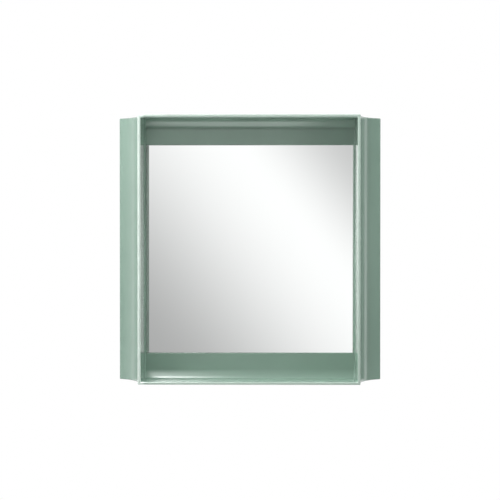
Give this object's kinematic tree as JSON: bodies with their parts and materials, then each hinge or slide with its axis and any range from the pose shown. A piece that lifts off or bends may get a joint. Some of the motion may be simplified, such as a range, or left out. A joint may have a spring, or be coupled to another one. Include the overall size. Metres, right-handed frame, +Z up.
{
  "type": "wall mirror with shelf",
  "caption": "Square wall mirror set deep in a glossy moulded frame with concave flared sides; the frame's lower inside wall is a shelf for toiletries.",
  "frame": {"origin": "centre of the frame's back edge, on the wall plane", "axes": "+Z up, +Y into the wall, -Y out of the mirror towards the room, +X to the right seen from the front"},
  "size_m": [0.45, 0.11, 0.45],
  "materials": {
    "frame_plastic": "gloss",
    "mirror": "polished",
    "mirror_paint": "matt",
    "foam_tape": "matt",
    "panel_sheet": "matt",
    "plated_steel": "zinc plated",
    "pad_rubber": "matt"
  },
  "bodies": {
    "root": {"frame_shell": "frame_plastic", "mirror_glass": "mirror", "mirror_backing": "mirror_paint", "rear_panel": "panel_sheet", "panel_screws": "plated_steel", "hanger_plate_left": "plated_steel", "hanger_plate_right": "plated_steel", "hanger_screws": "plated_steel", "foam_tape_far_left": "foam_tape", "foam_tape_left": "foam_tape", "foam_tape_right": "foam_tape", "foam_tape_far_right": "foam_tape", "wall_pad_upper_left": "pad_rubber", "wall_pad_upper_right": "pad_rubber", "wall_pad_lower_left": "pad_rubber", "wall_pad_lower_right": "pad_rubber"}
  },
  "joints": []
}
